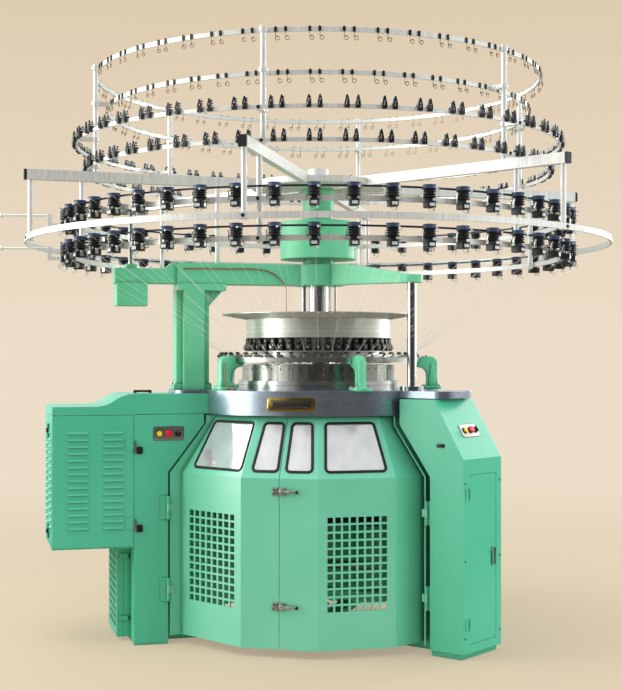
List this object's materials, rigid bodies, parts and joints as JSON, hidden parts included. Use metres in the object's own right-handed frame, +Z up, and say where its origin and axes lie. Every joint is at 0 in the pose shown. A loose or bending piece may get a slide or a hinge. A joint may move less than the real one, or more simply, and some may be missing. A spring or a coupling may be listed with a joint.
{
  "type": "industrial circular knitting machine",
  "caption": "Large-diameter circular knitting machine: a green base with doors and drive cabinets, a rotating needle cylinder, and a crown with ringed yarn feeders and guides.",
  "frame": {"origin": "on the floor under the needle cylinder's axis, at the middle of the foot spider's underside", "axes": "+Z up along the cylinder's axis, -Y to the front where the two doors meet, +X to the control cabinet's side"},
  "size_m": [3.4079, 3.3494, 3.184],
  "materials": {
    "green_paint": "semi-gloss baked enamel",
    "bed_steel": "satin blue-grey enamel",
    "aluminium": "satin",
    "machined_steel": "fine machined",
    "chrome": "polished",
    "black_plastic": "matte",
    "cast_grey": "painted casting",
    "belt_rubber": "matte",
    "window_glass": "clear acrylic with a milky film",
    "plate_steel": "brushed",
    "yellow_plastic": "gloss",
    "red_plastic": "gloss",
    "black_gloss": "gloss",
    "red_lead": "matte"
  },
  "bodies": {
    "machine": {"machine_legs": "green_paint", "control_cabinet": "green_paint", "bed_plate": "bed_steel", "gear_housing": "bed_steel", "rear_guards": "green_paint", "door_hinge_brackets": "machined_steel", "drive_cabinet": "green_paint", "drive_cover": "green_paint", "lower_guard": "green_paint", "control_plates": "plate_steel", "motor": "cast_grey", "drive_belt": "belt_rubber", "base_ring": "machined_steel", "cam_sections": "machined_steel", "carrier_ring": "aluminium", "yarn_carriers": "black_plastic", "dial_cam_drum": "green_paint", "yarn_guide_plate": "machined_steel", "center_shaft": "chrome", "ring_brackets": "green_paint", "column": "green_paint", "crown_casting": "green_paint", "support_rod": "chrome", "hub_drum": "green_paint", "frame_arms": "aluminium", "frame_posts": "aluminium", "guide_rings": "aluminium", "tension_rings": "aluminium", "feeder_rings": "aluminium", "yarn_hooks": "black_plastic", "tension_units": "black_plastic", "yarn_feeders": "black_plastic", "feeder_belts": "belt_rubber", "belt_gearbox": "green_paint", "leads": "red_lead"},
    "door_left": {"front_door_left": "green_paint", "door_glass_left": "window_glass"},
    "door_right": {"front_door_right": "green_paint", "door_glass_right": "window_glass"},
    "latch_upper": {"latch_lever_upper": "machined_steel"},
    "latch_lower": {"latch_lever_lower": "machined_steel"},
    "louvre_front": {"louvre_door_front": "green_paint"},
    "louvre_rear": {"louvre_door_rear": "green_paint"},
    "cabinet_door": {"control_door": "green_paint"},
    "cabinet_lock": {"lock_handle": "black_plastic"},
    "start": {"start_button": "yellow_plastic"},
    "stop": {"stop_button": "red_plastic"},
    "selector": {"selector_knob": "black_gloss"},
    "cabinet_start": {"cabinet_start_button": "yellow_plastic"},
    "cabinet_stop": {"cabinet_stop_button": "red_plastic"},
    "cabinet_switch": {"cabinet_selector": "black_gloss"},
    "cylinder": {"needle_cylinder": "machined_steel", "takedown_frame": "green_paint"},
    "dial": {"dial": "machined_steel"},
    "drive_shaft": {"main_shaft": "machined_steel"},
    "motor_rotor": {"motor_pulley": "machined_steel"},
    "roller_front": {"takedown_roller_front": "chrome"},
    "roller_rear": {"takedown_roller_rear": "chrome"},
    "winder": {"winding_shaft": "chrome"},
    "feeder_drive": {"feeder_drive_shaft": "black_plastic"}
  },
  "joints": [
    {"name": "front_door_left_swing", "type": "hinge", "parent": "machine", "child": "door_left", "pos_m": [-0.68915, -0.61035, 0.5], "axis": [0, 0, -1], "range_deg": [0, 95]},
    {"name": "front_door_right_swing", "type": "hinge", "parent": "machine", "child": "door_right", "pos_m": [0.72998, -0.51804, 0.5], "axis": [0, 0, 1], "range_deg": [0, 95]},
    {"name": "latch_upper_turn", "type": "hinge", "parent": "door_right", "child": "latch_upper", "pos_m": [0.016, -0.79613, 0.871], "axis": [0, 1, 0], "range_deg": [0, 90]},
    {"name": "latch_lower_turn", "type": "hinge", "parent": "door_right", "child": "latch_lower", "pos_m": [0.016, -0.79613, 0.27], "axis": [0, 1, 0], "range_deg": [0, 90]},
    {"name": "louvre_door_front_swing", "type": "hinge", "parent": "machine", "child": "louvre_front", "pos_m": [-1.37458, -0.69316, 0.9], "axis": [0, 0, -1], "range_deg": [0, 100]},
    {"name": "louvre_door_rear_swing", "type": "hinge", "parent": "machine", "child": "louvre_rear", "pos_m": [-1.15403, -0.18015, 0.9], "axis": [0, 0, -1], "range_deg": [0, 100]},
    {"name": "cabinet_door_swing", "type": "hinge", "parent": "machine", "child": "cabinet_door", "pos_m": [0.96961, -0.56881, 0.53], "axis": [0, 0, -1], "range_deg": [0, 110]},
    {"name": "cabinet_lock_turn", "type": "hinge", "parent": "cabinet_door", "child": "cabinet_lock", "pos_m": [1.05689, -0.35051, 0.55], "axis": [-0.9171, 0.3987, 0], "range_deg": [0, 90]},
    {"name": "start_button_push", "type": "slide", "parent": "machine", "child": "start", "axis": [-0.5, 0.866, 0], "range_m": [0, 0.005], "stiffness_N_per_m": 600},
    {"name": "stop_button_push", "type": "slide", "parent": "machine", "child": "stop", "axis": [-0.5, 0.866, 0], "range_m": [0, 0.005], "stiffness_N_per_m": 600},
    {"name": "selector_turn", "type": "hinge", "parent": "machine", "child": "selector", "pos_m": [-0.64652, -0.57419, 1.156], "axis": [0.5, -0.866, 0], "range_deg": [-45, 45]},
    {"name": "cabinet_start_push", "type": "slide", "parent": "machine", "child": "cabinet_start", "axis": [-0.7873, 0.3423, -0.5129], "range_m": [0, 0.005], "stiffness_N_per_m": 600},
    {"name": "cabinet_stop_push", "type": "slide", "parent": "machine", "child": "cabinet_stop", "axis": [-0.7873, 0.3423, -0.5129], "range_m": [0, 0.005], "stiffness_N_per_m": 600},
    {"name": "cabinet_selector_turn", "type": "hinge", "parent": "machine", "child": "cabinet_switch", "pos_m": [0.96105, -0.36117, 1.18368], "axis": [0.7873, -0.3423, 0.5129], "range_deg": [-45, 45]},
    {"name": "cylinder_spin", "type": "hinge", "parent": "machine", "child": "cylinder", "pos_m": [0, 0, 1.4], "axis": [0, 0, 1], "continuous": true},
    {"name": "dial_spin", "type": "hinge", "parent": "machine", "child": "dial", "pos_m": [0, 0, 1.57], "axis": [0, 0, 1], "continuous": true},
    {"name": "main_shaft_spin", "type": "hinge", "parent": "machine", "child": "drive_shaft", "pos_m": [-0.51962, -0.3, 1.32], "axis": [0, 0, 1], "continuous": true},
    {"name": "motor_spin", "type": "hinge", "parent": "machine", "child": "motor_rotor", "pos_m": [-1.11717, -0.645, 1.29], "axis": [0, 0, 1], "continuous": true},
    {"name": "takedown_front_spin", "type": "hinge", "parent": "cylinder", "child": "roller_front", "pos_m": [0, -0.033, 0.64], "axis": [1, 0, 0], "continuous": true},
    {"name": "takedown_rear_spin", "type": "hinge", "parent": "cylinder", "child": "roller_rear", "pos_m": [0, 0.033, 0.64], "axis": [1, 0, 0], "continuous": true},
    {"name": "winding_spin", "type": "hinge", "parent": "cylinder", "child": "winder", "pos_m": [0, 0, 0.38], "axis": [1, 0, 0], "continuous": true},
    {"name": "feeder_drive_spin", "type": "hinge", "parent": "machine", "child": "feeder_drive", "pos_m": [-0.93964, -0.5425, 2.29], "axis": [0, 0, 1], "continuous": true}
  ],
  "couplings": [
    {"joint": "dial_spin", "follows": "cylinder_spin", "ratio": 1},
    {"joint": "main_shaft_spin", "follows": "cylinder_spin", "ratio": -9},
    {"joint": "motor_spin", "follows": "cylinder_spin", "ratio": -14.4},
    {"joint": "takedown_front_spin", "follows": "cylinder_spin", "ratio": 2},
    {"joint": "takedown_rear_spin", "follows": "cylinder_spin", "ratio": -2},
    {"joint": "winding_spin", "follows": "cylinder_spin", "ratio": 3},
    {"joint": "feeder_drive_spin", "follows": "cylinder_spin", "ratio": 4}
  ]
}
